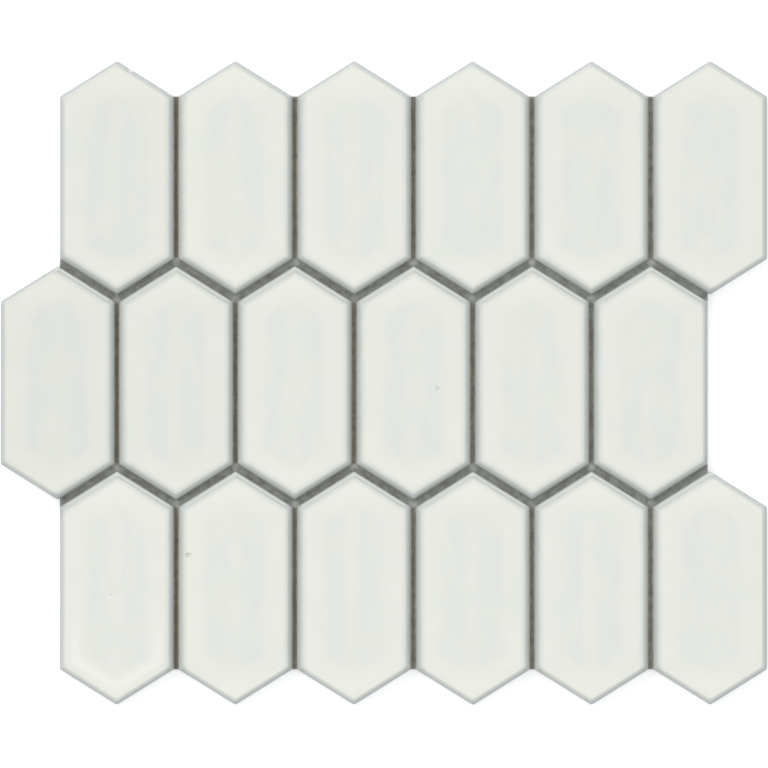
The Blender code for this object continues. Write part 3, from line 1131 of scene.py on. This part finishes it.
# %% [markdown]
# ## Closing the grout
#
# The sheet's grout is cut off square where its outer joints open, so its next neighbour can be
# laid and grouted on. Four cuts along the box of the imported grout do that. Then the open rim is
# pulled down to the backs of the tiles and the bottom is filled, which gives a closed body.

# %% Cut the grout off and give it its depth
def trim_and_close(form, name):
    for corner, way in ((GROUT_LOW, -1), (GROUT_HIGH, 1)):
        for normal in ((way, 0, 0), (0, way, 0)):
            whole = form.verts[:] + form.edges[:] + form.faces[:]
            bmesh.ops.bisect_plane(form, geom=whole, dist=SAME_POINT, plane_co=corner,
                                   plane_no=normal, clear_outer=True)
    rim = [edge for edge in form.edges if edge.is_boundary]
    pulled = bmesh.ops.extrude_edge_only(form, edges=rim)["geom"]
    for vertex in [item for item in pulled if isinstance(item, bmesh.types.BMVert)]:
        vertex.co.z = BACK_HEIGHT
    bottom = [item for item in pulled if isinstance(item, bmesh.types.BMEdge)]
    bmesh.ops.triangle_fill(form, edges=bottom, use_beauty=True)
    bmesh.ops.recalc_face_normals(form, faces=form.faces)
    open_edges = sum(not edge.is_manifold for edge in form.edges)
    body = put_down(form, name)
    body.data.shade_smooth()
    body.data.set_sharp_from_angle(angle=SHARP_ANGLE)
    return body, open_edges


grout, open_edges = trim_and_close(grout_form, "sandy_joint_grout")
print("The grout has", open_edges, "open edges")

# %% [markdown]
# ## Sand
#
# The wiped surface undulates, and single grains of sand stand out of it. A tree first moves the
# upper faces by noise and then scatters small flattened stones over them, each with a size, a
# turn and a lightness of its own. Each has only twenty faces, because there are thousands.

# %% Scatter the sand
STONE_SHAPE = (1, 0.8, 0.65)
WIPED_SURFACE = 0.5  # the least that it faces up


def random_number(tree, low, high, seed):
    values = {2: low, 3: high, "Seed": seed}
    return add_node(tree, "FunctionNodeRandomValue", values).outputs[1]


def build_sanding():
    tree, given, made = start_tree(
        "sandy_surface", Int=["Seed"],
        Float=["Unevenness", "Patch size", "Grains per square metre", "Smallest", "Largest"])
    seed = given["Seed"]
    upper = maths(tree, "GREATER_THAN", facing_up(tree), WIPED_SURFACE)
    based = store(tree, given["Geometry"], "grain_tone", MIDDLE_TONE)
    field = noise_field(tree, given["Patch size"], {"Detail": 4})
    wiped = lift(tree, based, uneven(tree, field, given["Unevenness"]), upper)
    spots = shape(tree, "DistributePointsOnFaces",
                  {"Mesh": wiped, "Selection": upper, "Seed": seed,
                   "Density": given["Grains per square metre"]})
    toned = store(tree, spots, "grain_tone", random_number(tree, 0, 1, seed))
    turn = add_node(tree, "FunctionNodeRandomValue",
                    {0: (0, 0, 0), 1: (math.pi, math.pi, math.pi), "Seed": seed},
                    data_type="FLOAT_VECTOR")
    size = random_number(tree, given["Smallest"], given["Largest"], seed)
    ball = shape(tree, "MeshIcoSphere", {"Radius": 1, "Subdivisions": 1})
    stone = shape(tree, "Transform", {"Geometry": ball, "Scale": STONE_SHAPE})
    grains = shape(tree, "InstanceOnPoints", {"Points": toned, "Instance": stone,
                                              "Rotation": turn.outputs[0], "Scale": size})
    both = add_node(tree, "GeometryNodeJoinGeometry")
    tree.links.new(grains, both.inputs[0])
    tree.links.new(wiped, both.inputs[0])
    return end_tree(tree, given, made, both.outputs[0])


run_tree(grout, build_sanding(), {
    "Unevenness": 0.00035, "Patch size": 0.0028, "Grains per square metre": 1100000.0,
    "Smallest": 0.00006, "Largest": 0.00016, "Seed": 3, "Finish": grout_finish})
print("Grout and sand have", len(grout.data.polygons), "faces")

# %% [markdown]
# ## The backing net
#
# The net is a leno weave of glass fibre: flat yarns run along the rows, and pairs of thinner
# yarns cross them, one over and one under, and swap heights from one crossing to the next. A
# tree lays rows of points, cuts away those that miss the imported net, makes the rest curves,
# bends the pairs over and under and sweeps a flat profile along them all. A modelled grid of
# bars would be quicker, but only woven yarns catch the light and the glue as a net does.

# %% Weave the net
NET_PITCH = 0.0054
FLAT_YARN = (0.0010, 0.00013)  # width and thickness
PAIR_YARN = (0.0005, 0.00012)
PAIR_SPREAD = 0.00028
PAIR_RISE = 0.00012
NET_MIDDLE = (NET_LOW.z + NET_HIGH.z) / 2


def keep_over(tree, geometry, extent):
    """Deletes the points that don't lie over or under the object."""
    above = vector_maths(tree, "ADD", shape(tree, "InputPosition"), (0, 0, 1))
    hit = add_node(tree, "GeometryNodeRaycast",
                   {"Target Geometry": shape_of(tree, extent), "Source Position": above,
                    "Ray Direction": (0, 0, -1), "Ray Length": 2})
    miss = without(tree, hit.outputs["Is Hit"])
    return shape(tree, "DeleteGeometry", {"Geometry": geometry, "Selection": miss})


def sweep(tree, curve, yarn, name):
    """The curve as a flat yarn, with how far round it a point lies as an attribute."""
    ring = shape(tree, "CurvePrimitiveCircle", {"Resolution": 6, "Radius": 0.5})
    flat = shape(tree, "Transform", {"Geometry": ring, "Scale": (*yarn, 1)}, label=name)
    factor = add_node(tree, "GeometryNodeSplineParameter").outputs["Factor"]
    marked = store(tree, flat, "around", factor)
    level = shape(tree, "SetCurveNormal", {"Curve": curve}, mode="Z_UP")
    return shape(tree, "CurveToMesh",
                 {"Curve": level, "Profile Curve": marked, "Fill Caps": True})


def build_weaving():
    tree, given, made = start_tree("woven_net", Object=["Extent"], Float=["Pitch"])
    join = add_node(tree, "GeometryNodeJoinGeometry")
    reach = dict(zip("XYZ", NET_HIGH - NET_LOW))
    pitch = given["Pitch"]
    half = maths(tree, "DIVIDE", pitch, 2)

    def pitches_in(length):
        return maths(tree, "FLOOR", maths(tree, "DIVIDE", length, pitch))

    def centred_line(axis, steps, step, aside):
        """Points along an axis, as many steps long as said, moved aside from the middle."""
        start = maths(tree, "DIVIDE", times(tree, steps, step), -2)
        start = combine(tree, {axis: maths(tree, "ADD", start, aside)})
        return shape(tree, "MeshLine",
                     {"Count": maths(tree, "ADD", steps, 1), "Start Location": start,
                      "Offset": combine(tree, {axis: step})})

    def lay_yarns(along, across, aside, swings, yarn, name):
        """Parallel yarns, cut to the extent, moved aside, and raised and lowered by turns."""
        steps = times(tree, pitches_in(reach[along]), 2)
        line = centred_line(along, steps, half, 0)
        rows = centred_line(across, pitches_in(reach[across]), pitch, aside)
        copies = shape(tree, "InstanceOnPoints", {"Points": rows, "Instance": line})
        laid = shape(tree, "RealizeInstances", {0: copies})
        kept = keep_over(tree, laid, given["Extent"])
        curves = shape(tree, "MeshToCurve", {"Mesh": kept})
        place = part_of(tree, shape(tree, "InputPosition"), "Y")
        turns = maths(tree, "DIVIDE", place, pitch)
        swing = maths(tree, "COSINE", times(tree, turns, math.pi))
        bent = lift(tree, curves, maths(tree, "MULTIPLY_ADD", swing, swings, NET_MIDDLE))
        tree.links.new(sweep(tree, bent, yarn, name), join.inputs[0])

    lay_yarns("X", "Y", 0, 0, FLAT_YARN, "flat_yarns")
    lay_yarns("Y", "X", -PAIR_SPREAD, PAIR_RISE, PAIR_YARN, "left_of_each_pair")
    lay_yarns("Y", "X", PAIR_SPREAD, -PAIR_RISE, PAIR_YARN, "right_of_each_pair")
    smooth = shape(tree, "SetShadeSmooth", {0: join.outputs[0]})
    return end_tree(tree, given, made, smooth)


net = put_down(bmesh.new(), "woven_backing_net")
run_tree(net, build_weaving(), {
    "Extent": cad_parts["backing_net"], "Pitch": NET_PITCH, "Finish": fibre_finish})
print("The net has", len(net.data.polygons), "faces")

# %% [markdown]
# ## The dots of glue
#
# The net is held by dots of glue that were pressed flat between it and the backs of the tiles.
# They are scattered over the backs with a least distance between them, each with its own width,
# and only where there is net to hold.

# %% Set the glue
GLUE_MARGIN = 0.0070
GLUE_WIDTH = (0.0030, 0.0048)
GLUE_DEPTH = 0.00075
GLUE_SPACING = 0.0085


def glued_backs():
    """The part of each back that takes glue, as one flat face for each tile."""
    form = bmesh.new()
    height = (NET_HIGH.z + BACK_HEIGHT) / 2
    outline = picket_outline(GLUE_MARGIN, FACE_CORNER_RADIUS, [1] * 6)
    for centre in centres.values():
        form.faces.new([form.verts.new((*(centre + point), height)) for point in outline])
    return put_down(form, "glue_dots")


def build_gluing():
    tree, given, made = start_tree("pressed_glue", Object=["Extent"], Int=["Seed"],
                                   Float=["Spacing", "Narrowest", "Widest", "Depth"])
    spots = shape(tree, "DistributePointsOnFaces",
                  {"Mesh": given["Geometry"], "Distance Min": given["Spacing"],
                   "Density Max": 1000000, "Seed": given["Seed"]}, distribute_method="POISSON")
    bead = shape(tree, "MeshIcoSphere", {"Radius": 0.5, "Subdivisions": 2})
    widths = [random_number(tree, given["Narrowest"], given["Widest"], seed) for seed in (1, 2)]
    size = combine(tree, {"X": widths[0], "Y": widths[1], "Z": given["Depth"]})
    netted = keep_over(tree, spots, given["Extent"])
    beads = shape(tree, "InstanceOnPoints", {"Points": netted, "Instance": bead, "Scale": size})
    smooth = shape(tree, "SetShadeSmooth", {0: beads})
    return end_tree(tree, given, made, smooth)


glue = run_tree(glued_backs(), build_gluing(), {
    "Extent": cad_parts["backing_net"], "Spacing": GLUE_SPACING,
    "Narrowest": GLUE_WIDTH[0], "Widest": GLUE_WIDTH[1], "Depth": GLUE_DEPTH, "Seed": 5,
    "Finish": glue_finish})
print("The glue has", len(glue.data.polygons), "faces")

# %% [markdown]
# ## Joining the looks to the frame
#
# Each fine piece rides on the sheet's one body, and all but the glue stand for an imported solid,
# which is hidden.


def join_frame(piece, slot, *nodes):
    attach(piece, "root")
    if nodes:
        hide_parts(*nodes)


for name, tile in tiles.items():
    join_frame(tile, "glazed_tile", name)
join_frame(grout, "grout", "joint_grout")
join_frame(net, "net", "backing_net")
join_frame(glue, "net")
